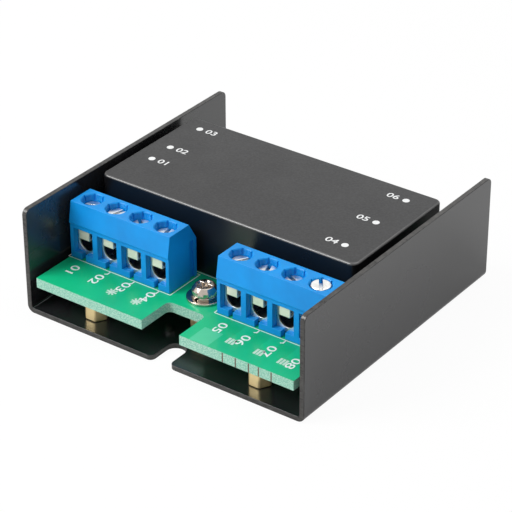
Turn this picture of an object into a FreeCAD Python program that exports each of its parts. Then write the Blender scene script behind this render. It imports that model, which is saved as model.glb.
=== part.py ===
# Chassis-mount DC-DC converter: a potted converter brick soldered to a small board with two
# four-way screw terminal blocks, carried on brass pillars in a folded sheet-metal U chassis.
# Millimetres. X runs left to right along the front edge, Y from the terminals to the rear, Z up.
# The origin is the centre of the footprint, on the underside of the chassis.
import FreeCAD, Part
import math
import os

V = FreeCAD.Vector
UP = V(0, 0, 1)

# Converter brick
converter_length = 50.8
converter_width = 25.4
converter_height = 11.8
case_wall = 0.8
case_corner = 1.3
case_top_round = 0.4
header_thickness = 1.6
header_clearance = 0.05
pin_radius = 0.5
pin_below_board = 1.9
converter_offset = -0.35
input_pin_inset = 3.65
output_pin_inset = 4.8
input_pin_places = (9.0, 14.0, 22.2)
output_pin_places = (4.2, 13.0, 21.8)

# Circuit board
board_thickness = 1.8
board_overhang = 0.3
board_side_gap = 1.2
board_front_inset = 0.2
board_rear_inset = 0.5
board_notch_width = 7.5
board_notch_depth = 6.95
board_notch_corner = 1.0
hole_clearance = 0.15

# Rows from the front of the board to the rear
front_margin = 8.8
terminal_to_converter = 1.1
rear_margin = 10.15

# Folded chassis
sheet = 0.9
bend_inside = 0.4
flange_over_converter = 0.45
flange_corner = 1.1
slot_width = 3.5
slot_depth = 5.6
slot_mouth_round = 1.0

# Brass pillars riveted into the chassis
pillar_height = 4.25
support_flats = 3.6
support_shank_radius = 1.1
support_from_board_side = 9.2
support_from_board_front = 4.1
standoff_flats = 4.5
standoff_shank_radius = 1.6
rivet_clearance = 0.02
centre_screw_x = 0.2
centre_screw_from_notch = 4.4
rear_screw_from_board_side = 9.2
rear_screw_from_board_rear = 4.6

# Board screws and washers
screw_radius = 1.25
screw_below_board = 3.4
thread_clearance = 0.05
pan_head_radius = 2.15
pan_head_height = 1.5
pan_side_height = 0.8
pan_head_chamfer = 0.5
cross_span = 2.7
cross_width = 0.8
cross_depth = 1.0
lock_washer_radius = 2.25
lock_washer_thickness = 0.5
lock_washer_split = 0.5
flat_washer_radius = 3.05
flat_washer_thickness = 0.45
washer_clearance = 0.1

# Terminal blocks
pole_pitch = 5.08
pole_count = 4
terminal_end_wall = 0.15
terminal_gap = 9.6
terminal_board_margin = 0.28
terminal_offset = -0.25
terminal_height = 10.3
terminal_depth = 7.35
terminal_ledge_height = 6.45
terminal_ledge_lip = 0.15
terminal_ledge_drop = 0.15
terminal_ledge_band = 0.2
terminal_front_lean = 0.6
terminal_top_depth = 5.0
terminal_back_break = 7.1
front_wall = 1.1
window_width = 4.05
window_sill = 1.15
window_over_wire_hole = 0.15
sill_slot_width = 0.8
cavity_clearance = 0.05
bore_radius = 1.8
bore_chamfer = 0.2
bore_from_front = 2.9
key_width = 0.6
key_depth = 0.25
key_height = 1.2
key_angles = (62, 118, 174)
rib_depth = 0.25
rib_root = 0.9
rib_tip = 1.3
rib_clearance = 0.05
rib_from_back = 1.35
rib_height = 7.0

# Contact frame, clamp leaf and clamp screw of one pole
contact_width = 3.9
contact_sheet = 0.4
contact_bottom = 0.6
contact_depth = 4.75
contact_below_top = 4.0
contact_top_sheet = 0.6
contact_hole_radius = 1.6
contact_hole_bottom = 1.4
contact_hole_below_plate = 0.2
leaf_width = 2.0
leaf_sheet = 0.35
leaf_front = 0.42
leaf_back = 4.5
leaf_rise = 3.2
leaf_pocket_gap = 0.07
leaf_pocket_side = 0.1
leaf_bend_inside = 0.15
clamp_screw_radius = 1.25
clamp_head_radius = 1.62
clamp_head_height = 1.4
clamp_head_chamfer = 0.15
clamp_slot_width = 0.6
clamp_slot_depth = 0.8
clamp_screw_shank = 3.65
tip_clearance = 0.02
input_screw_depths = (1.2, 0.9, 1.25, 1.1)
output_screw_depths = (1.1, 1.05, 1.15, 0.03)
input_slot_angles = (20, 75, 140, 100)
output_slot_angles = (60, 110, 155, 37)

# Sizes worked out from the values above
terminal_length = pole_count * pole_pitch + 2 * terminal_end_wall
terminals_width = 2 * terminal_length + terminal_gap
board_width = max(converter_length + 2 * board_overhang, terminals_width + 2 * terminal_board_margin)
board_depth = front_margin + terminal_depth + terminal_to_converter + converter_width + rear_margin
chassis_width = board_width + 2 * (board_side_gap + sheet)
chassis_depth = board_depth + board_front_inset + board_rear_inset
board_bottom = sheet + pillar_height
board_top = board_bottom + board_thickness
converter_top = board_top + converter_height
chassis_height = converter_top + flange_over_converter
board_front = -chassis_depth / 2 + board_front_inset
board_rear = board_front + board_depth
terminal_front = board_front + front_margin
terminal_back = terminal_front + terminal_depth
converter_front = terminal_back + terminal_to_converter
converter_rear = converter_front + converter_width
converter_left = converter_offset - converter_length / 2
converter_right = converter_offset + converter_length / 2
input_centre = terminal_offset - board_width / 2 + terminal_board_margin + terminal_length / 2
output_centre = terminal_offset + board_width / 2 - terminal_board_margin - terminal_length / 2
contact_top = terminal_height - contact_below_top
contact_front = terminal_front + front_wall
contact_back = contact_front + contact_depth
contact_hole_top = contact_top - contact_top_sheet - contact_hole_below_plate
window_top = contact_hole_top + window_over_wire_hole
cavity_width = contact_width + 2 * cavity_clearance
cavity_top = contact_top + cavity_clearance
cavity_back = contact_back + cavity_clearance
rear_screw_x = board_width / 2 - rear_screw_from_board_side
support_x = board_width / 2 - support_from_board_side
pole_y = terminal_front + bore_from_front
centre_screw_y = board_front + board_notch_depth + centre_screw_from_notch
rear_screw_y = board_rear - rear_screw_from_board_rear
support_y = board_front + support_from_board_front
rear_screw_places = ((-rear_screw_x, rear_screw_y), (rear_screw_x, rear_screw_y))
screw_places = ((centre_screw_x, centre_screw_y),) + rear_screw_places
support_places = ((-support_x, support_y), (support_x, support_y))


def pole_xs(centre):
    first = centre - (pole_count - 1) * pole_pitch / 2
    return [first + k * pole_pitch for k in range(pole_count)]


input_xs = pole_xs(input_centre)
output_xs = pole_xs(output_centre)
input_pins = [(converter_left + input_pin_inset, converter_front + y) for y in input_pin_places]
output_pins = [(converter_right - output_pin_inset, converter_front + y) for y in output_pin_places]
converter_pins = input_pins + output_pins
terminal_pins = [(x, pole_y) for x in input_xs + output_xs]


# Helpers
def block(x0, x1, y0, y1, z0, z1):
    return Part.makeBox(x1 - x0, y1 - y0, z1 - z0, V(x0, y0, z0))


def rod(x, y, z0, z1, radius):
    return Part.makeCylinder(radius, z1 - z0, V(x, y, z0))


def prism(points, direction):
    outline = Part.makePolygon([V(*p) for p in points] + [V(*points[0])])
    return Part.Face(outline).extrude(V(*direction))


def hexagon(x, y, z0, z1, flats):
    corner = flats / math.sqrt(3)
    turns = [math.radians(60 * k) for k in range(6)]
    points = [(x + corner * math.cos(a), y + corner * math.sin(a), z0) for a in turns]
    return prism(points, (0, 0, z1 - z0))


def upright_edges(solid, test):
    found = []
    for edge in solid.Edges:
        box = edge.BoundBox
        if box.XLength < 1e-6 and box.YLength < 1e-6 and box.ZLength > 1e-6 and test(box.XMin, box.YMin):
            found.append(edge)
    return found


def cut_all(solid, tools):
    return solid.cut(Part.makeCompound(tools)).removeSplitter()


def save(shape, name):
    shape.exportStep(os.path.join("parts", name + ".step"))


# Chassis: one sheet folded up at both sides, with an open screw slot at the front and the rear
def chassis_profile():
    half = chassis_width / 2
    outside = bend_inside + sheet
    diagonal = math.sqrt(0.5)
    y = -chassis_depth / 2

    def at(x, z):
        return V(x, y, z)

    def line(a, b):
        return Part.LineSegment(a, b).toShape()

    def arc(a, centre_x, centre_z, radius, side, b):
        middle = at(centre_x + side * radius * diagonal, centre_z - radius * diagonal)
        return Part.Arc(a, middle, b).toShape()

    left, right = -half + outside, half - outside
    edges = [
        line(at(left, 0), at(right, 0)),
        arc(at(right, 0), right, outside, outside, 1, at(half, outside)),
        line(at(half, outside), at(half, chassis_height)),
        line(at(half, chassis_height), at(half - sheet, chassis_height)),
        line(at(half - sheet, chassis_height), at(half - sheet, outside)),
        arc(at(half - sheet, outside), right, outside, bend_inside, 1, at(right, sheet)),
        line(at(right, sheet), at(left, sheet)),
        arc(at(left, sheet), left, outside, bend_inside, -1, at(-half + sheet, outside)),
        line(at(-half + sheet, outside), at(-half + sheet, chassis_height)),
        line(at(-half + sheet, chassis_height), at(-half, chassis_height)),
        line(at(-half, chassis_height), at(-half, outside)),
        arc(at(-half, outside), left, outside, outside, -1, at(left, 0)),
    ]
    return Part.Face(Part.Wire(edges))


def chassis():
    solid = chassis_profile().extrude(V(0, chassis_depth, 0))
    half_depth = chassis_depth / 2
    slot_radius = slot_width / 2
    cuts = []
    for side in (-1, 1):
        centre_y = side * (half_depth - slot_depth + slot_radius)
        cuts.append(rod(0, centre_y, -1, sheet + 1, slot_radius))
        ends = sorted((centre_y, side * (half_depth + 1)))
        cuts.append(block(-slot_radius, slot_radius, ends[0], ends[1], -1, sheet + 1))
    for x, y in support_places:
        cuts.append(rod(x, y, -1, sheet + 1, support_shank_radius + rivet_clearance))
    for x, y in screw_places:
        cuts.append(rod(x, y, -1, sheet + 1, standoff_shank_radius + rivet_clearance))
    solid = cut_all(solid, cuts)
    mouths = upright_edges(
        solid, lambda x, y: abs(abs(x) - slot_radius) < 1e-3 and abs(abs(y) - half_depth) < 1e-3
    )
    solid = solid.makeFillet(slot_mouth_round, mouths)
    corners = []
    for edge in solid.Edges:
        box = edge.BoundBox
        across = box.YLength < 1e-6 and box.ZLength < 1e-6 and abs(box.XLength - sheet) < 1e-3
        if across and abs(box.ZMin - chassis_height) < 1e-3:
            corners.append(edge)
    return solid.makeFillet(flange_corner, corners)


# Circuit board, notched front and rear so that a driver reaches the chassis slots
def circuit_board():
    half = board_width / 2
    solid = block(-half, half, board_front, board_rear, board_bottom, board_top)
    half_notch = board_notch_width / 2
    low, high = board_bottom - 1, board_top + 1
    front_end = board_front + board_notch_depth
    rear_end = board_rear - board_notch_depth
    cuts = [
        block(-half_notch, half_notch, board_front - 1, front_end, low, high),
        block(-half_notch, half_notch, rear_end, board_rear + 1, low, high),
    ]
    for x, y in converter_pins + terminal_pins:
        cuts.append(rod(x, y, low, high, pin_radius + hole_clearance))
    for x, y in screw_places:
        cuts.append(rod(x, y, low, high, screw_radius + hole_clearance))
    solid = cut_all(solid, cuts)
    ends = (front_end, rear_end)
    inner = upright_edges(
        solid, lambda x, y: abs(abs(x) - half_notch) < 1e-3 and min(abs(y - e) for e in ends) < 1e-3
    )
    return solid.makeFillet(board_notch_corner, inner)


# Brass pillars: a hexagon under the board with a shank riveted flush in the sheet
def support_pillar(x, y):
    body = hexagon(x, y, sheet, board_bottom, support_flats)
    return body.fuse(rod(x, y, 0, sheet, support_shank_radius)).removeSplitter()


def screw_standoff(x, y):
    body = hexagon(x, y, sheet, board_bottom, standoff_flats)
    body = body.fuse(rod(x, y, 0, sheet, standoff_shank_radius)).removeSplitter()
    thread = rod(x, y, -1, board_bottom + 1, screw_radius + thread_clearance)
    return body.cut(thread)


# Board screws: pan head with a tapered cross recess, on a split washer and a flat washer
def cross_outline(x, y, z, span, width):
    a, b = span / 2, width / 2
    points = [(a, b), (b, b), (b, a), (-b, a), (-b, b), (-a, b)]
    points += [(-a, -b), (-b, -b), (-b, -a), (b, -a), (b, -b), (a, -b)]
    return Part.makePolygon([V(x + px, y + py, z) for px, py in points + points[:1]])


def board_screw(x, y):
    seat = board_top + flat_washer_thickness + lock_washer_thickness
    top = seat + pan_head_height
    tip = board_top - screw_below_board
    shoulder = seat + pan_side_height
    crown_radius = pan_head_radius - pan_head_chamfer
    crown = Part.makeCone(pan_head_radius, crown_radius, top - shoulder, V(x, y, shoulder))
    sides = rod(x, y, seat, shoulder, pan_head_radius)
    shank = rod(x, y, tip, seat, screw_radius)
    solid = shank.fuse([sides, crown]).removeSplitter()
    recess = Part.makeLoft(
        [
            cross_outline(x, y, top - cross_depth, cross_span * 0.45, cross_width * 0.55),
            cross_outline(x, y, top + 0.1, cross_span, cross_width),
        ],
        True,
    )
    return solid.cut(recess)


def lock_washer(x, y):
    low = board_top + flat_washer_thickness
    high = low + lock_washer_thickness
    ring = rod(x, y, low, high, lock_washer_radius)
    ring = ring.cut(rod(x, y, low - 1, high + 1, screw_radius + washer_clearance))
    split = lock_washer_split / 2
    lean = lock_washer_thickness
    points = [
        (x - split - lean / 2, y, low),
        (x + split - lean / 2, y, low),
        (x + split + lean / 2, y, high),
        (x - split + lean / 2, y, high),
    ]
    return ring.cut(prism(points, (0, -lock_washer_radius - 1, 0)))


def flat_washer(x, y):
    ring = rod(x, y, board_top, board_top + flat_washer_thickness, flat_washer_radius)
    hole = rod(x, y, board_top - 1, board_top + 1, screw_radius + washer_clearance)
    return ring.cut(hole)


# Converter brick: drawn case, potting inside, header with the pins
def converter_block(inset, z0, z1, corner):
    left, right = converter_left + inset, converter_right - inset
    solid = block(left, right, converter_front + inset, converter_rear - inset, z0, z1)
    return solid.makeFillet(corner, upright_edges(solid, lambda x, y: True))


def converter_case():
    outer = converter_block(0, board_top, converter_top, case_corner)
    rim = [e for e in outer.Edges if e.BoundBox.ZMin > converter_top - 1e-3]
    outer = outer.makeFillet(case_top_round, rim)
    inner_corner = case_corner - case_wall
    return outer.cut(converter_block(case_wall, board_top - 1, converter_top - case_wall, inner_corner))


def converter_header():
    inset = case_wall + header_clearance
    return converter_block(inset, board_top, board_top + header_thickness, case_corner - inset)


def converter_potting():
    inset = case_wall + header_clearance
    low = board_top + header_thickness
    return converter_block(inset, low, converter_top - case_wall, case_corner - inset)


def converter_pin(x, y):
    return rod(x, y, board_bottom - pin_below_board, board_top, pin_radius)


# Terminal housing: one moulding, its section drawn from the side, cut out for each pole
def housing_section(x):
    z = board_top
    y = terminal_front
    top_front = y + terminal_front_lean - terminal_ledge_lip
    points = [
        (x, y, z),
        (x, y, z + terminal_ledge_height - terminal_ledge_drop),
        (x, y - terminal_ledge_lip, z + terminal_ledge_height),
        (x, y - terminal_ledge_lip, z + terminal_ledge_height + terminal_ledge_band),
        (x, top_front, z + terminal_height),
        (x, top_front + terminal_top_depth, z + terminal_height),
        (x, y + terminal_depth, z + terminal_back_break),
        (x, y + terminal_depth, z),
    ]
    return points


def dovetail(x, reach, extra):
    y = terminal_back - rib_from_back
    root, tip = rib_root / 2 + extra, rib_tip / 2 + extra
    points = [
        (x, y - root, board_top),
        (x, y + root, board_top),
        (x + reach, y + tip, board_top),
        (x + reach, y - tip, board_top),
    ]
    return prism(points, (0, 0, rib_height))


def pole_cuts(x):
    z = board_top
    front = terminal_front
    half_window, half_sill, half_cavity = window_width / 2, sill_slot_width / 2, cavity_width / 2
    half_leaf = leaf_width / 2 + leaf_pocket_side
    top = z + terminal_height
    leaf_top = z + contact_hole_top + leaf_rise - leaf_sheet
    cuts = [
        block(x - half_window, x + half_window, front - 1, contact_front, z + window_sill, z + window_top),
        block(x - half_sill, x + half_sill, front - 1, contact_front, z - 1, z + window_sill + 0.1),
        block(x - half_cavity, x + half_cavity, contact_front, cavity_back, z - 1, z + cavity_top),
        block(x - half_leaf, x + half_leaf, front + leaf_front - leaf_pocket_gap,
              front + leaf_front + leaf_sheet + leaf_pocket_gap, z + window_top - 0.1, leaf_top),
        rod(x, pole_y, z + cavity_top - 0.1, top + 1, bore_radius),
        Part.makeCone(bore_radius, bore_radius + bore_chamfer + 0.1, bore_chamfer + 0.1,
                      V(x, pole_y, top - bore_chamfer)),
    ]
    for angle in key_angles:
        key = block(0, bore_radius + key_depth, -key_width / 2, key_width / 2, top - key_height, top + 1)
        key.rotate(V(0, 0, 0), UP, angle)
        key.translate(V(x, pole_y, 0))
        cuts.append(key)
    return cuts


def terminal_housing(centre):
    left = centre - terminal_length / 2
    right = centre + terminal_length / 2
    solid = prism(housing_section(left), (terminal_length, 0, 0))
    solid = solid.fuse(dovetail(left, -rib_depth, 0)).removeSplitter()
    cuts = [dovetail(right, -rib_depth - rib_clearance, rib_clearance)]
    for x in pole_xs(centre):
        cuts += pole_cuts(x)
    return cut_all(solid, cuts)


# Contact frame: a strip folded into a loop, with a round-bottomed wire hole in front,
# a threaded top plate and a solder pin below
def contact_frame(x):
    z = board_top
    half = contact_width / 2
    front, back = contact_front, contact_back
    low, high = z + contact_bottom, z + contact_top
    loop = block(x - half, x + half, front, back, low, high)
    inside = block(x - half - 1, x + half + 1, front + contact_sheet, back - contact_sheet,
                   low + contact_sheet, high - contact_top_sheet)
    loop = loop.cut(inside)
    arc_height = z + contact_hole_bottom + contact_hole_radius
    round_hole = Part.makeCylinder(contact_hole_radius, 2, V(x, front - 1, arc_height), V(0, 1, 0))
    upper_hole = block(x - contact_hole_radius, x + contact_hole_radius, front - 1, front + 1,
                       arc_height, z + contact_hole_top)
    thread = rod(x, pole_y, high - contact_top_sheet - 1, high + 1, clamp_screw_radius + thread_clearance)
    loop = cut_all(loop, [round_hole, upper_hole, thread])
    pin = rod(x, pole_y, board_bottom - pin_below_board, low, pin_radius)
    return loop.fuse(pin).removeSplitter()


# Clamp leaf: a strip hanging in the window, bent back under the tip of the screw
def clamp_leaf(x, depth):
    foot = clamp_tip(depth) - tip_clearance - leaf_sheet
    front = terminal_front + leaf_front
    back = terminal_front + leaf_back
    half = leaf_width / 2
    outline = [
        (x - half, front, foot),
        (x - half, back, foot),
        (x - half, back, foot + leaf_sheet),
        (x - half, front + leaf_sheet, foot + leaf_sheet),
        (x - half, front + leaf_sheet, foot + leaf_rise),
        (x - half, front, foot + leaf_rise),
    ]
    solid = prism(outline, (leaf_width, 0, 0))
    outside_edge, inside_edge = [], []
    for edge in solid.Edges:
        box = edge.BoundBox
        if abs(box.XLength - leaf_width) > 1e-3:
            continue
        if abs(box.YMin - front) < 1e-3 and abs(box.ZMin - foot) < 1e-3:
            outside_edge.append(edge)
        if abs(box.YMin - front - leaf_sheet) < 1e-3 and abs(box.ZMin - foot - leaf_sheet) < 1e-3:
            inside_edge.append(edge)
    return solid.makeFillet(leaf_bend_inside, inside_edge + outside_edge)


def clamp_tip(depth):
    return board_top + terminal_height - depth - clamp_head_height - clamp_screw_shank


# Clamp screw: a cheese head with a straight slot
def clamp_screw(x, depth, slot_angle):
    tip = clamp_tip(depth)
    seat = tip + clamp_screw_shank
    top = seat + clamp_head_height
    head = rod(x, pole_y, seat, top, clamp_head_radius)
    rim = [e for e in head.Edges if e.BoundBox.ZMin > top - 1e-3]
    head = head.makeChamfer(clamp_head_chamfer, rim)
    solid = head.fuse(rod(x, pole_y, tip, seat, clamp_screw_radius)).removeSplitter()
    half = clamp_slot_width / 2
    slot = block(-clamp_head_radius - 1, clamp_head_radius + 1, -half, half, top - clamp_slot_depth, top + 1)
    slot.rotate(V(0, 0, 0), UP, slot_angle)
    slot.translate(V(x, pole_y, 0))
    return solid.cut(slot)


# Build and write every piece
os.makedirs("parts", exist_ok=True)
save(chassis(), "chassis")
save(circuit_board(), "circuit_board")
for side, (x, y) in zip(("left", "right"), support_places):
    save(support_pillar(x, y), "support_pillar_" + side)
for place, (x, y) in zip(("centre", "rear_left", "rear_right"), screw_places):
    save(screw_standoff(x, y), "standoff_" + place)
    save(flat_washer(x, y), "flat_washer_" + place)
    save(lock_washer(x, y), "lock_washer_" + place)
    save(board_screw(x, y), "board_screw_" + place)
save(converter_case(), "converter_case")
save(converter_header(), "converter_header")
save(converter_potting(), "converter_potting")
for number, (x, y) in enumerate(converter_pins, 1):
    save(converter_pin(x, y), "converter_pin_%d" % number)
sides = (
    ("input", input_centre, input_xs, input_screw_depths, input_slot_angles),
    ("output", output_centre, output_xs, output_screw_depths, output_slot_angles),
)
for side, centre, xs, depths, slot_angles in sides:
    save(terminal_housing(centre), side + "_terminal_housing")
    for number, (x, depth, slot_angle) in enumerate(zip(xs, depths, slot_angles), 1):
        save(contact_frame(x), "%s_contact_%d" % (side, number))
        save(clamp_leaf(x, depth), "%s_clamp_leaf_%d" % (side, number))
        save(clamp_screw(x, depth, slot_angle), "%s_clamp_screw_%d" % (side, number))
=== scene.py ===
import math
import bmesh
import bpy
from mathutils import Euler, Matrix, Vector


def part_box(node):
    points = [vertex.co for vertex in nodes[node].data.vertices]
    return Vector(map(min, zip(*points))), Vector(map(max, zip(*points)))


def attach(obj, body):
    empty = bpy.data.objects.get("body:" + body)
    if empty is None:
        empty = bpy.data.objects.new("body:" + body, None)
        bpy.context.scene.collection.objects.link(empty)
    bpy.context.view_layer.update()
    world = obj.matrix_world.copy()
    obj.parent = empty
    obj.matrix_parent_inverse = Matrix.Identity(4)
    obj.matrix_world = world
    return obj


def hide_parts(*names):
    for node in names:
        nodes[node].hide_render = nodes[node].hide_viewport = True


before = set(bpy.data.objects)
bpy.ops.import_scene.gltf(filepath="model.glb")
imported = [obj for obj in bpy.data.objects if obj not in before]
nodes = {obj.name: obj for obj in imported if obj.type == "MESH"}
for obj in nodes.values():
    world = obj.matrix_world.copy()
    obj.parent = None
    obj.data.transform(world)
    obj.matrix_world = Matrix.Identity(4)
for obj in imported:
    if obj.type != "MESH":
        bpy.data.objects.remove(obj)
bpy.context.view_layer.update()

scene = bpy.context.scene
mm = 0.001
unit = "converter_unit"
fullTurn = 2 * math.pi


# Shader graphs: each finish starts here, with patterns on Object coordinates
def startFinish(name, colour, roughness, metallic=0.0):
    finish = bpy.data.materials.new(name)
    finish.use_nodes = True
    graph = finish.node_tree
    shader = graph.nodes["Principled BSDF"]
    shader.inputs["Base Color"].default_value = (*colour, 1)
    shader.inputs["Roughness"].default_value = roughness
    shader.inputs["Metallic"].default_value = metallic
    return finish, graph, shader


def objectPattern(graph, kind, scale, stretch=(1, 1, 1), **settings):
    place = graph.nodes.new("ShaderNodeTexCoord")
    spread = graph.nodes.new("ShaderNodeMapping")
    spread.inputs["Scale"].default_value = stretch
    pattern = graph.nodes.new(kind)
    pattern.inputs["Scale"].default_value = scale
    for key, value in settings.items():
        pattern.inputs[key].default_value = value
    graph.links.new(place.outputs["Object"], spread.inputs["Vector"])
    graph.links.new(spread.outputs["Vector"], pattern.inputs["Vector"])
    return pattern.outputs[0] if kind != "ShaderNodeTexNoise" else pattern.outputs["Fac"]


def blendColours(graph, factor, stops):
    ramp = graph.nodes.new("ShaderNodeValToRGB")
    while len(ramp.color_ramp.elements) < len(stops):
        ramp.color_ramp.elements.new(0.5)
    for element, (place, colour) in zip(ramp.color_ramp.elements, stops):
        element.position = place
        element.color = (*colour, 1)
    graph.links.new(factor, ramp.inputs["Fac"])
    return ramp.outputs["Color"]


def spreadRoughness(graph, shader, factor, low, high):
    spread = graph.nodes.new("ShaderNodeMapRange")
    spread.inputs["From Min"].default_value = 0.3
    spread.inputs["From Max"].default_value = 0.7
    spread.inputs["To Min"].default_value = low
    spread.inputs["To Max"].default_value = high
    graph.links.new(factor, spread.inputs["Value"])
    graph.links.new(spread.outputs["Result"], shader.inputs["Roughness"])


def addBump(graph, shader, height, strength, distance):
    bump = graph.nodes.new("ShaderNodeBump")
    bump.inputs["Strength"].default_value = strength
    bump.inputs["Distance"].default_value = distance
    graph.links.new(height, bump.inputs["Height"])
    graph.links.new(bump.outputs["Normal"], shader.inputs["Normal"])


# Finishes
def blackChassisFinish():
    look = {"base": (0.010, 0.010, 0.0115), "worn": (0.019, 0.019, 0.021)}
    finish, graph, shader = startFinish("chassisBlack", look["base"], 0.22)
    shader.inputs["IOR"].default_value = 1.77
    cloud = objectPattern(graph, "ShaderNodeTexNoise", 60, Detail=5)
    grain = objectPattern(graph, "ShaderNodeTexNoise", 3600, Detail=4)
    colour = blendColours(graph, cloud, [(0.35, look["base"]), (0.7, look["worn"])])
    graph.links.new(colour, shader.inputs["Base Color"])
    spreadRoughness(graph, shader, cloud, 0.15, 0.31)
    addBump(graph, shader, grain, 0.22, 0.00002)
    return finish


def cutSheetFinish():
    finish, graph, shader = startFinish("chassisCutEdge", (0.07, 0.068, 0.064), 0.45, 0.5)
    drag = objectPattern(graph, "ShaderNodeTexNoise", 900, stretch=(1, 1, 6), Detail=4)
    colour = blendColours(graph, drag, [(0.3, (0.028, 0.027, 0.026)), (0.7, (0.085, 0.082, 0.078))])
    graph.links.new(colour, shader.inputs["Base Color"])
    spreadRoughness(graph, shader, drag, 0.25, 0.4)
    return finish


def paintedEdgeFinish():
    finish, graph, shader = startFinish("chassisPaintEdge", (0.006, 0.006, 0.007), 0.35)
    chips = objectPattern(graph, "ShaderNodeTexNoise", 1500, Detail=4)
    colour = blendColours(graph, chips, [(0.45, (0.006, 0.006, 0.007)), (0.72, (0.06, 0.058, 0.055))])
    graph.links.new(colour, shader.inputs["Base Color"])
    spreadRoughness(graph, shader, chips, 0.3, 0.45)
    return finish


def solderMaskFinish(name, base, deep):
    finish, graph, shader = startFinish(name, base, 0.3)
    shader.inputs["Coat Weight"].default_value = 0.2
    shader.inputs["Coat Roughness"].default_value = 0.15
    shader.inputs["Specular IOR Level"].default_value = 0.35
    cloud = objectPattern(graph, "ShaderNodeTexNoise", 130, Detail=4)
    weave = objectPattern(graph, "ShaderNodeTexNoise", 2600, Detail=2)
    colour = blendColours(graph, cloud, [(0.3, deep), (0.72, base)])
    graph.links.new(colour, shader.inputs["Base Color"])
    spreadRoughness(graph, shader, cloud, 0.3, 0.42)
    addBump(graph, shader, weave, 0.2, 0.00003)
    return finish


def laminateEdgeFinish():
    look = {"resin": (0.20, 0.48, 0.36), "glass": (0.44, 0.68, 0.56)}
    finish, graph, shader = startFinish("laminateEdge", look["resin"], 0.6)
    shader.inputs["Subsurface Weight"].default_value = 0.15
    shader.inputs["Subsurface Radius"].default_value = (0.0006, 0.001, 0.0007)
    yarns = objectPattern(graph, "ShaderNodeTexVoronoi", 3000, stretch=(1, 1, 1.5), Randomness=0.7)
    fibres = objectPattern(graph, "ShaderNodeTexNoise", 2400, stretch=(1, 1, 0.5), Detail=3)
    colour = blendColours(graph, yarns, [(0.15, look["glass"]), (0.6, look["resin"])])
    graph.links.new(colour, shader.inputs["Base Color"])
    addBump(graph, shader, fibres, 0.5, 0.00006)
    return finish


def terminalFinish():
    look = {"base": (0.001, 0.30, 0.78), "shade": (0.001, 0.25, 0.68)}
    finish, graph, shader = startFinish("terminalBlue", look["base"], 0.42)
    shader.inputs["Specular IOR Level"].default_value = 0.3
    shader.inputs["Subsurface Weight"].default_value = 0.1
    shader.inputs["Subsurface Radius"].default_value = (0.0002, 0.0005, 0.0010)
    cloud = objectPattern(graph, "ShaderNodeTexNoise", 240, Detail=4)
    spark = objectPattern(graph, "ShaderNodeTexNoise", 3800, Detail=3)
    colour = blendColours(graph, cloud, [(0.3, look["shade"]), (0.7, look["base"])])
    graph.links.new(colour, shader.inputs["Base Color"])
    spreadRoughness(graph, shader, cloud, 0.36, 0.48)
    addBump(graph, shader, spark, 0.3, 0.00004)
    return finish


def metalFinish(name, colour, roughness, streak=(1, 1, 1), grainScale=2500, bump=0.08, metallic=1.0):
    finish, graph, shader = startFinish(name, colour, roughness, metallic)
    cloud = objectPattern(graph, "ShaderNodeTexNoise", 500, Detail=4)
    grain = objectPattern(graph, "ShaderNodeTexNoise", grainScale, stretch=streak, Detail=3)
    dull = tuple(0.82 * part for part in colour)
    tint = blendColours(graph, cloud, [(0.3, dull), (0.68, colour)])
    graph.links.new(tint, shader.inputs["Base Color"])
    spreadRoughness(graph, shader, cloud, 0.8 * roughness, 1.3 * roughness)
    addBump(graph, shader, grain, bump, 0.00003)
    return finish


# A dark colour with darker patches: painted shade inside the terminal and contact cavities, and the
# scored laminate's own brown
def paintedShadeAndScoreFinish(name, colour):
    finish, graph, shader = startFinish(name, colour, 0.7)
    mottle = objectPattern(graph, "ShaderNodeTexNoise", 900, Detail=4)
    deep = tuple(0.5 * part for part in colour)
    tint = blendColours(graph, mottle, [(0.3, deep), (0.7, colour)])
    graph.links.new(tint, shader.inputs["Base Color"])
    spreadRoughness(graph, shader, mottle, 0.6, 0.8)
    return finish


def caseTopFinish():
    look = {"base": (0.008, 0.008, 0.0085), "dust": (0.024, 0.024, 0.025)}
    finish, graph, shader = startFinish("caseTopBlack", look["base"], 0.45)
    speck = objectPattern(graph, "ShaderNodeTexNoise", 2600, Detail=5)
    cloud = objectPattern(graph, "ShaderNodeTexNoise", 110, Detail=4)
    colour = blendColours(graph, speck, [(0.35, look["base"]), (0.7, look["dust"])])
    graph.links.new(colour, shader.inputs["Base Color"])
    spreadRoughness(graph, shader, cloud, 0.40, 0.50)
    addBump(graph, shader, speck, 0.4, 0.00005)
    return finish


def caseSideFinish():
    finish, graph, shader = startFinish("caseSideBlack", (0.005, 0.005, 0.0055), 0.3)
    cloud = objectPattern(graph, "ShaderNodeTexNoise", 140, Detail=4)
    grain = objectPattern(graph, "ShaderNodeTexNoise", 3000, Detail=3)
    spreadRoughness(graph, shader, cloud, 0.26, 0.36)
    addBump(graph, shader, grain, 0.12, 0.00002)
    return finish


def caseEdgeFinish():
    finish, graph, shader = startFinish("caseEdgeBlack", (0.012, 0.012, 0.012), 0.22)
    shader.inputs["IOR"].default_value = 1.8
    edgeHighlightPatches = objectPattern(graph, "ShaderNodeTexNoise", 420, Detail=5)
    # The lighter patches on the edge rounding are a painted highlight along the edge line, besides the
    # glossy reflection of the key lamp
    colour = blendColours(graph, edgeHighlightPatches, [(0.4, (0.012, 0.012, 0.012)), (0.7, (0.04, 0.04, 0.038))])
    graph.links.new(colour, shader.inputs["Base Color"])
    spreadRoughness(graph, shader, edgeHighlightPatches, 0.30, 0.42)
    return finish


def resinFinish():
    finish, graph, shader = startFinish("resinBlack", (0.012, 0.012, 0.013), 0.45)
    cloud = objectPattern(graph, "ShaderNodeTexNoise", 300, Detail=3)
    spreadRoughness(graph, shader, cloud, 0.35, 0.55)
    addBump(graph, shader, cloud, 0.3, 0.0001)
    return finish


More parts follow.
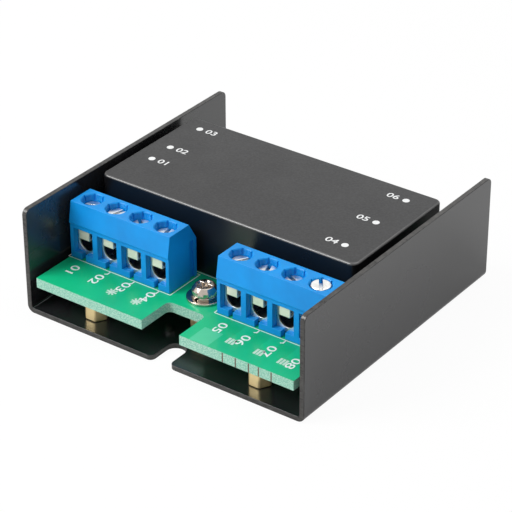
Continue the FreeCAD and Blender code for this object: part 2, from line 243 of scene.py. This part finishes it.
def inkFinish(name, colour):
    finish, graph, shader = startFinish(name, colour, 0.55)
    speck = objectPattern(graph, "ShaderNodeTexNoise", 3500, Detail=3)
    thin = tuple(0.8 * part for part in colour)
    tint = blendColours(graph, speck, [(0.25, thin), (0.5, colour)])
    graph.links.new(tint, shader.inputs["Base Color"])
    return finish


finishes = {
    "chassis": blackChassisFinish(),
    "cutEdge": cutSheetFinish(),
    "paintEdge": paintedEdgeFinish(),
    "mask": solderMaskFinish("solderMask", (0.002, 0.50, 0.215), (0.002, 0.42, 0.18)),
    "copperMask": solderMaskFinish("solderMaskOverCopper", (0.004, 0.55, 0.24), (0.003, 0.47, 0.21)),
    "bareMask": solderMaskFinish("solderMaskOverLaminate", (0.07, 0.58, 0.31), (0.05, 0.51, 0.27)),
    "laminate": laminateEdgeFinish(),
    "scored": paintedShadeAndScoreFinish("scoredLaminate", (0.17, 0.115, 0.075)),
    "terminal": terminalFinish(),
    # Painted shade: a dark navy for the blue housing's walls inside its cavities
    "terminalPaintedShade": paintedShadeAndScoreFinish("terminalCavityPaintedShade", (0.001, 0.02, 0.07)),
    "brass": metalFinish("turnedBrass", (0.90, 0.72, 0.38), 0.42, streak=(1, 1, 8)),
    "screw": metalFinish("brightPlating", (0.54, 0.48, 0.42), 0.16, grainScale=1100, bump=0.7),
    "contact": metalFinish("tinnedContact", (0.90, 0.89, 0.83), 0.3),
    # Painted shade: near-black for the tinned contact faces inside the loop
    "contactPaintedShade": paintedShadeAndScoreFinish("contactCavityPaintedShade", (0.012, 0.011, 0.010)),
    "leaf": metalFinish("tinnedLeaf", (0.84, 0.82, 0.71), 0.45, metallic=0.45),
    "clampScrew": metalFinish("zincPlating", (0.88, 0.88, 0.86), 0.32),
    "solder": metalFinish("solder", (0.76, 0.77, 0.79), 0.18, bump=0.2),
    "pin": metalFinish("tinnedPin", (0.80, 0.78, 0.70), 0.25),
    "caseTop": caseTopFinish(),
    "caseSide": caseSideFinish(),
    "caseEdge": caseEdgeFinish(),
    "resin": resinFinish(),
    "pad": inkFinish("tinnedPad", (0.52, 0.70, 0.58)),
    "ink": inkFinish("whiteInk", (0.82, 0.86, 0.82)),
    "caseInk": inkFinish("caseInk", (0.84, 0.85, 0.85)),
}
print("finishes ready")


# Pieces: every object stays at the origin, with its place in its mesh
def addPiece(name, body, shape, finishNames, sharpAngle=35):
    mesh = bpy.data.meshes.new(name)
    shape.to_mesh(mesh)
    shape.free()
    for finishName in finishNames:
        mesh.materials.append(finishes[finishName])
    for polygon in mesh.polygons:
        polygon.use_smooth = True
    mesh.set_sharp_from_angle(angle=math.radians(sharpAngle))
    piece = bpy.data.objects.new(name, mesh)
    scene.collection.objects.link(piece)
    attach(piece, body)
    return piece


def softenEdges(piece, width, segments=2, angle=35, edgeFinish=None):
    bevel = piece.modifiers.new("softEdge", "BEVEL")
    bevel.width = width
    bevel.segments = segments
    bevel.limit_method = "ANGLE"
    bevel.angle_limit = math.radians(angle)
    bevel.use_clamp_overlap = False
    bevel.harden_normals = True
    if edgeFinish is not None:
        bevel.material = edgeFinish
    return piece


def cleanCopy(nodeName, ease=None):
    shape = bmesh.new()
    shape.from_mesh(nodes[nodeName].data)
    bmesh.ops.remove_doubles(shape, verts=shape.verts, dist=0.000002)
    if ease:
        ease(shape)
    flatAngle = math.radians(0.5)
    bmesh.ops.dissolve_limit(shape, angle_limit=flatAngle, verts=shape.verts, edges=shape.edges)
    for face in shape.faces:
        face.material_index = 0
    return shape


def dressNode(nodeName, body, finishNames, edge, choose=None, edgeFinish=None, ease=None):
    shape = cleanCopy(nodeName, ease)
    if choose:
        for face in shape.faces:
            face.material_index = choose(face)
    piece = addPiece("dressed_" + nodeName, body, shape, finishNames)
    softenEdges(piece, edge, edgeFinish=edgeFinish)
    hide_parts(nodeName)
    return piece


def middle(nodeName):
    low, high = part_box(nodeName)
    return (low + high) / 2


def paint(nodeName, finishName):
    for slot in nodes[nodeName].material_slots:
        slot.material = finishes[finishName]


# Chassis: black on its faces, worn grey on its cut edges
def buildChassis():
    chassis = {"edge": 0.1 * mm, "sheet": 1.1 * mm, "slotSide": 4 * mm, "rim": 0.1 * mm}
    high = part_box("chassis")[1]
    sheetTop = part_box("support_pillar_left")[0].z + chassis["sheet"]

    def edgeOrSheet(face):
        normal, centre = face.normal, face.calc_center_median()
        onRim = abs(normal.y) > 0.2 or centre.z > high.z - chassis["rim"]
        if abs(normal.x) < 0.05 and onRim:
            return 1
        nearSlot = centre.z < sheetTop and abs(centre.x) < chassis["slotSide"]
        inSlot = abs(normal.z) < 0.05 and nearSlot
        return 1 if inSlot else 0

    names = ["chassis", "cutEdge", "paintEdge"]
    dressNode("chassis", unit, names, chassis["edge"], edgeOrSheet, edgeFinish=2)


# Circuit board: laminate with a green mask on both faces, bare at its edges
def buildBoard():
    board = {"edge": 0.05 * mm}

    def maskOrEdge(face):
        return 0 if abs(face.normal.z) > 0.9 else 1

    dressNode("circuit_board", unit, ["mask", "laminate"], board["edge"], maskOrEdge)


# Copper under the mask, clear laminate beside the notch and scores across the front edge
def buildBoardLayers():
    strips = {"width": 2.3 * mm, "aside": 0.4 * mm, "thick": 0.012 * mm,
              "ends": {2: 3.4, 3: 4.6, 4: 4.6}}
    patch = {"size": (3.6 * mm, 4.2 * mm, 0.01 * mm), "x": 7.4 * mm, "inFromEdge": 2.2 * mm}
    cuts = {"places": (12.2, 14.7, 17.2, 19.1, 21.5), "width": 0.24 * mm,
            "proud": 0.01 * mm, "short": 0.1 * mm}
    low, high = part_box("circuit_board")
    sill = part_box("output_terminal_housing")[0].y
    copper = bmesh.new()
    for number, end in strips["ends"].items():
        pole = middle("output_clamp_screw_%d" % number)
        length = sill - low.y - end * mm
        place = (pole.x - strips["aside"], sill - length / 2, high.z)
        addBar(copper, (strips["width"], length, strips["thick"]), place)
    addPiece("copperUnderMask", unit, copper, ["copperMask"])
    clear = bmesh.new()
    addBar(clear, patch["size"], (patch["x"], low.y + patch["inFromEdge"], high.z))
    addPiece("clearLaminate", unit, clear, ["bareMask"])
    scores = bmesh.new()
    size = (cuts["width"], 2 * cuts["proud"], high.z - low.z - cuts["short"])
    for x in cuts["places"]:
        addBar(scores, size, (x * mm, low.y, (low.z + high.z) / 2))
    addPiece("edgeScores", unit, scores, ["scored"])


# Brass pillars, board screws and washers
def buildPillars():
    pillars = {"edge": 0.28 * mm, "boredEdge": 0.1 * mm}
    for side in ("left", "right"):
        dressNode("support_pillar_" + side, unit, ["brass"], pillars["edge"])
    for place in ("centre", "rear_left", "rear_right"):
        dressNode("standoff_" + place, unit, ["brass"], pillars["boredEdge"])


def buildBoardScrews():
    edges = {"board_screw_": 0.07 * mm, "lock_washer_": 0.08 * mm, "flat_washer_": 0.1 * mm}
    for place in ("centre", "rear_left", "rear_right"):
        for kind, edge in edges.items():
            dressNode(kind + place, unit, ["screw"], edge)


# Converter brick
def buildConverter():
    converter = {"edge": 0.04 * mm}

    def topOrSide(face):
        if face.normal.z > 0.98:
            return 0
        return 1 if face.normal.z < 0.1 else 2

    names = ["caseTop", "caseSide", "caseEdge"]
    dressNode("converter_case", unit, names, converter["edge"], topOrSide)
    paint("converter_header", "resin")
    paint("converter_potting", "resin")
    for number in range(1, 7):
        dressNode("converter_pin_%d" % number, unit, ["pin"], 0.1 * mm)


# Terminal blocks: blue outside; inside their windows the inner walls get painted shade, a dark navy in
# place of the blue
def buildTerminals():
    edges = {"housing": 0.07 * mm, "contact": 0.05 * mm, "leaf": 0.05 * mm, "screw": 0.06 * mm}
    window = {"front": 1.3 * mm, "back": 1.0 * mm, "top": 7.4 * mm, "ends": 0.5 * mm}
    for side in ("input", "output"):
        housing = side + "_terminal_housing"
        low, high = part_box(housing)

        # Picks the housing faces inside the cavity behind the windows for the painted shade
        def innerWallPaintedShade(face):
            centre = face.calc_center_median()
            behind = low.y + window["front"] < centre.y < high.y - window["back"]
            between = low.x + window["ends"] < centre.x < high.x - window["ends"]
            return 1 if behind and between and centre.z < low.z + window["top"] else 0

        def narrowKeyways(shape):
            for number in range(1, 5):
                easeBore(shape, middle("%s_clamp_screw_%d" % (side, number)), high.z)

        names = ["terminal", "terminalPaintedShade"]
        dressNode(housing, unit, names, edges["housing"], innerWallPaintedShade, ease=narrowKeyways)
        for number in range(1, 5):
            tail = "_%d" % number
            dressContact(side + "_contact" + tail, edges["contact"])
            leafBody, screwBody = side + "_clamp" + tail, side + "_screw" + tail
            dressNode(side + "_clamp_leaf" + tail, leafBody, ["leaf"], edges["leaf"])
            slotted = side + "_clamp_screw" + tail
            turned = slotTurn(slotted) if slotted == "output_clamp_screw_4" else None
            dressNode(slotted, screwBody, ["clampScrew"], edges["screw"], ease=turned)


# The raised screw has its slot across the block
def slotTurn(nodeName):
    raised = {"turn": 89}

    def turnShape(shape):
        turn = Matrix.Rotation(math.radians(raised["turn"]), 3, "Z")
        bmesh.ops.rotate(shape, verts=shape.verts, cent=middle(nodeName), matrix=turn)

    return turnShape


# The keyways of a bore are narrow and shallow
def easeBore(shape, pole, top):
    bore = {"turns": (62, 118, 174), "wide": 0.62, "depth": 1.3 * mm, "half": 0.31 * mm,
            "near": 1.6 * mm, "far": 2.2 * mm, "mouth": 2.03 * mm, "wall": 1.94 * mm}
    for turn in bore["turns"]:
        outward = Vector((math.cos(math.radians(turn)), math.sin(math.radians(turn)), 0))
        along = Vector((-outward.y, outward.x, 0))
        for vertex in shape.verts:
            offset = vertex.co - Vector((pole.x, pole.y, vertex.co.z))
            reach, aside = offset.dot(outward), offset.dot(along)
            inKey = bore["near"] < reach < bore["far"] and abs(aside) < bore["half"]
            if inKey and vertex.co.z > top - bore["depth"]:
                wall = bore["mouth"] if vertex.co.z > top - 0.05 * mm else bore["wall"]
                vertex.co -= along * aside * (1 - bore["wide"])
                vertex.co -= outward * max(0, reach - wall)


# Contact frames: tinned outside; the faces inside the loop get painted shade, near-black in place of
# the tin
def dressContact(nodeName, edge):
    loop = {"ceiling": 1.0 * mm}
    low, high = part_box(nodeName)
    middleY = (low.y + high.y) / 2

    def insideLoopPaintedShade(face):
        normal, centre = face.normal, face.calc_center_median()
        rearward = normal.y > 0.9 and centre.y < middleY
        forward = normal.y < -0.9 and centre.y > middleY
        ceiling = normal.z < -0.9 and centre.z > high.z - loop["ceiling"]
        return 1 if rearward or forward or ceiling else 0

    dressNode(nodeName, unit, ["contact", "contactPaintedShade"], edge, insideLoopPaintedShade)


# Solder: a hollow-sided cone round each pin under the board
def buildSolder():
    solder = {"foot": 1.05 * mm, "collar": 0.56 * mm, "tip": 0.5 * mm, "height": 0.9 * mm, "steps": 8}
    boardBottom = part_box("circuit_board")[0].z
    height = solder["height"]
    pins = ["converter_pin_%d" % number for number in range(1, 7)]
    places = [middle(pin) for pin in pins]
    for side in ("input", "output"):
        for number in range(1, 5):
            places.append(middle("%s_clamp_screw_%d" % (side, number)))
    shape = bmesh.new()
    for place in places:
        points = []
        for step in range(solder["steps"] + 1):
            share = step / solder["steps"]
            reach = solder["collar"] + (solder["foot"] - solder["collar"]) * (1 - share) ** 2.4
            points.append(shape.verts.new((place.x + reach, place.y, boardBottom - height * share)))
        points.append(shape.verts.new((place.x + solder["tip"], place.y, boardBottom - height)))
        profile = [shape.edges.new(pair) for pair in zip(points, points[1:])]
        centre = Vector((place.x, place.y, 0))
        bmesh.ops.spin(shape, geom=points + profile, cent=centre, axis=(0, 0, 1), angle=fullTurn,
                       steps=28, use_merge=True)
    bmesh.ops.remove_doubles(shape, verts=shape.verts, dist=0.000001)
    bmesh.ops.recalc_face_normals(shape, faces=shape.faces)
    addPiece("solderFillets", unit, shape, ["solder"])


# Printing: thin raised ink, all of one surface in one piece
def addText(shape, words, height, place, turn=0.0, weight=0.0, wide=1.0):
    letters = bpy.data.curves.new("letters", "FONT")
    letters.body = words
    letters.size = height / 0.7
    letters.align_x = "CENTER"
    letters.align_y = "CENTER"
    letters.offset = weight
    letters.extrude = 0.015 * mm
    holder = bpy.data.objects.new("letters", letters)
    mesh = bpy.data.meshes.new_from_object(holder)
    turned = Matrix.Rotation(turn, 4, "Z")
    mesh.transform(Matrix.Translation(place) @ turned @ Matrix.Diagonal((wide, 1, 1, 1)))
    shape.from_mesh(mesh)
    bpy.data.objects.remove(holder)
    bpy.data.curves.remove(letters)
    bpy.data.meshes.remove(mesh)


def addBar(shape, size, place, turn=0.0):
    made = bmesh.ops.create_cube(shape, size=1)["verts"]
    bmesh.ops.scale(shape, verts=made, vec=size)
    bmesh.ops.rotate(shape, verts=made, cent=(0, 0, 0), matrix=Matrix.Rotation(turn, 3, "Z"))
    bmesh.ops.translate(shape, verts=made, vec=place)


def addDisc(shape, radius, thickness, place, sides=40):
    made = bmesh.ops.create_cone(shape, cap_ends=True, segments=sides, radius1=radius, radius2=radius,
                                 depth=thickness)["verts"]
    bmesh.ops.translate(shape, verts=made, vec=place)


def printConverter():
    marks = {"dot": 0.6 * mm, "ink": 0.02 * mm, "height": 1.3 * mm, "weight": 0.00002, "wide": 1.25}
    inboard = 2.5 * mm
    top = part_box("converter_case")[1].z
    shape = bmesh.new()
    for number in range(1, 7):
        pin = middle("converter_pin_%d" % number)
        addDisc(shape, marks["dot"], marks["ink"], (pin.x, pin.y, top))
        place = Vector((pin.x - math.copysign(inboard, pin.x), pin.y, top))
        addText(shape, "%02d" % number, marks["height"], place, 0, marks["weight"], marks["wide"])
    addPiece("converterMarks", unit, shape, ["caseInk"])


def printBoard():
    marks = {"height": 1.5 * mm, "weight": 0.00002, "wide": 1.45, "line": 0.16 * mm, "ink": 0.03 * mm}
    labelFromSill = {"input": (3.3, 3.2, 2.6, 2.6), "output": (3.2, 4.0, 4.1, 4.8)}
    aside = {"label": 0.3 * mm, "arrow": 0.85 * mm}
    frameGap = {"blockLow": (0.1, 0.1, 0), "blockHigh": (0.35, 0.3, 0), "case": (0.15, 0.25, 0)}
    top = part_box("circuit_board")[1].z
    quarter = math.radians(-90)
    shape = bmesh.new()
    count = 0
    for side, reaches in labelFromSill.items():
        low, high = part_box(side + "_terminal_housing")
        for number, reach in enumerate(reaches, 1):
            count += 1
            pole = middle("%s_clamp_screw_%d" % (side, number))
            place = Vector((pole.x + aside["label"], low.y - reach * mm, top))
            words = "%02d" % count
            addText(shape, words, marks["height"], place, quarter, marks["weight"], marks["wide"])
            if number > 1:
                addArrow(shape, (pole.x + aside["arrow"], low.y - 0.6 * mm, top), marks["ink"])
        low, high = low - Vector(frameGap["blockLow"]) * mm, high + Vector(frameGap["blockHigh"]) * mm
        addFrame(shape, low, high, top, marks)
    low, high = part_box("converter_case")
    gap = Vector(frameGap["case"]) * mm
    addFrame(shape, low - gap, high + gap, top, marks)
    addPiece("boardMarks", unit, shape, ["ink"])
    printPads(top, marks["ink"])


def addArrow(shape, place, thickness):
    arrow = {"shaft": (0.22 * mm, 1.0 * mm), "barb": (0.55 * mm, 0.22 * mm), "lean": math.radians(35)}
    addBar(shape, (*arrow["shaft"], thickness), place)
    tip = (place[0] - 0.2 * mm, place[1] - 0.45 * mm, place[2])
    addBar(shape, (*arrow["barb"], 0.9 * thickness), tip, arrow["lean"])


def addFrame(shape, low, high, top, marks):
    centre = (low + high) / 2
    width, depth = high.x - low.x, high.y - low.y
    for y in (low.y, high.y):
        addBar(shape, (width, marks["line"], marks["ink"]), (centre.x, y, top))
    for x in (low.x, high.x):
        addBar(shape, (marks["line"], depth, 0.9 * marks["ink"]), (x, centre.y, top))


def printPads(top, thickness):
    pads = {"front": -23.2 * mm, "stripe": (0.42 * mm, 1.5 * mm), "apart": 0.56 * mm,
            "aside": {2: -0.9, 3: -0.6, 4: -1.2}}
    stars = {"front": -22.7 * mm, "arm": (1.9 * mm, 0.3 * mm), "aside": -0.15 * mm, "layer": 0.003 * mm}
    shape = bmesh.new()
    for number, aside in pads["aside"].items():
        pole = middle("output_clamp_screw_%d" % number)
        for stripe in (-1, 0, 1):
            place = (pole.x + aside * mm + stripe * pads["apart"], pads["front"], top)
            addBar(shape, (*pads["stripe"], thickness), place)
    for number in (3, 4):
        pole = middle("input_clamp_screw_%d" % number)
        place = (pole.x + stars["aside"], stars["front"], top)
        for step in range(4):
            size = (*stars["arm"], thickness + stars["layer"] * step)
            addBar(shape, size, place, math.radians(45 * step))
    addPiece("barePads", unit, shape, ["pad"])


# Studio: a white floor that still takes the object's shadow
def buildStudio():
    studio = {"floor": 6.0, "below": 0.05 * mm, "white": (0.93, 0.93, 0.93),
              "toCamera": 0.95, "toGloss": 0.3}
    shape = bmesh.new()
    grid = bmesh.ops.create_grid(shape, x_segments=1, y_segments=1, size=studio["floor"] / 2)
    bmesh.ops.translate(shape, verts=grid["verts"], vec=(0, 0, -studio["below"]))
    mesh = bpy.data.meshes.new("floor")
    shape.to_mesh(mesh)
    shape.free()
    floor = bpy.data.objects.new("floor", mesh)
    scene.collection.objects.link(floor)
    finish = bpy.data.materials.new("floorWhite")
    finish.use_nodes = True
    graph = finish.node_tree
    graph.nodes.clear()
    matte = graph.nodes.new("ShaderNodeBsdfDiffuse")
    matte.inputs["Color"].default_value = (*studio["white"], 1)
    glow = graph.nodes.new("ShaderNodeEmission")
    glow.inputs["Color"].default_value = (1, 1, 1, 1)
    mix = graph.nodes.new("ShaderNodeMixShader")
    out = graph.nodes.new("ShaderNodeOutputMaterial")
    graph.links.new(seenDirectly(graph, studio["toCamera"], studio["toGloss"]), mix.inputs[0])
    graph.links.new(matte.outputs[0], mix.inputs[1])
    graph.links.new(glow.outputs[0], mix.inputs[2])
    graph.links.new(mix.outputs[0], out.inputs["Surface"])
    mesh.materials.append(finish)


def seenDirectly(graph, toCamera, toGloss):
    path = graph.nodes.new("ShaderNodeLightPath")
    shares = {"Is Camera Ray": toCamera, "Is Glossy Ray": toGloss, "Is Transmission Ray": toCamera}
    total = None
    for ray, share in shares.items():
        scaled = graph.nodes.new("ShaderNodeMath")
        scaled.operation = "MULTIPLY"
        scaled.inputs[1].default_value = share
        graph.links.new(path.outputs[ray], scaled.inputs[0])
        if total is None:
            total = scaled.outputs[0]
            continue
        larger = graph.nodes.new("ShaderNodeMath")
        larger.operation = "MAXIMUM"
        graph.links.new(total, larger.inputs[0])
        graph.links.new(scaled.outputs[0], larger.inputs[1])
        total = larger.outputs[0]
    return total


def buildWorld():
    sky = {"shown": 1.0, "fill": 0.32}
    world = bpy.data.worlds.new("studioWhite")
    scene.world = world
    world.use_nodes = True
    graph = world.node_tree
    back = graph.nodes["Background"]
    back.inputs["Color"].default_value = (1, 1, 1, 1)
    level = graph.nodes.new("ShaderNodeMapRange")
    level.inputs["To Min"].default_value = sky["fill"]
    level.inputs["To Max"].default_value = sky["shown"]
    graph.links.new(seenDirectly(graph, 1.0, 1.0), level.inputs["Value"])
    graph.links.new(level.outputs["Result"], back.inputs["Strength"])


def addSoftbox(name, place, size, power, aim=(0, 0, 0.01)):
    light = bpy.data.lights.new(name, "AREA")
    light.shape = "RECTANGLE"
    light.size = size[0]
    light.size_y = size[1]
    light.energy = power
    lamp = bpy.data.objects.new(name, light)
    scene.collection.objects.link(lamp)
    lamp.location = place
    towards = Vector(aim) - Vector(place)
    lamp.rotation_euler = towards.to_track_quat("-Z", "Y").to_euler()


def buildLights():
    addSoftbox("keySoftbox", (-0.30, -0.36, 0.42), (0.3, 0.3), 3.3)
    addSoftbox("topSoftbox", (0.05, 0.18, 0.55), (0.5, 0.4), 1.2)


def buildCamera():
    view = {"place": (186.28, -255.01, 194.23), "turn": (59.377, 0.158, 36.164), "lens": 156.1}
    lens = bpy.data.cameras.new("photoCamera")
    lens.lens = view["lens"]
    lens.sensor_width = 36
    lens.clip_start = 0.01
    camera = bpy.data.objects.new("photoCamera", lens)
    scene.collection.objects.link(camera)
    camera.location = Vector(view["place"]) * mm
    camera.rotation_euler = Euler([math.radians(angle) for angle in view["turn"]])
    scene.camera = camera


buildChassis()
buildBoard()
buildBoardLayers()
buildPillars()
buildBoardScrews()
buildConverter()
buildTerminals()
buildSolder()
print("dressed pieces ready")
printConverter()
printBoard()
print("printing ready")
buildStudio()
buildWorld()
buildLights()
buildCamera()
scene.view_settings.view_transform = "Standard"
print("studio ready")
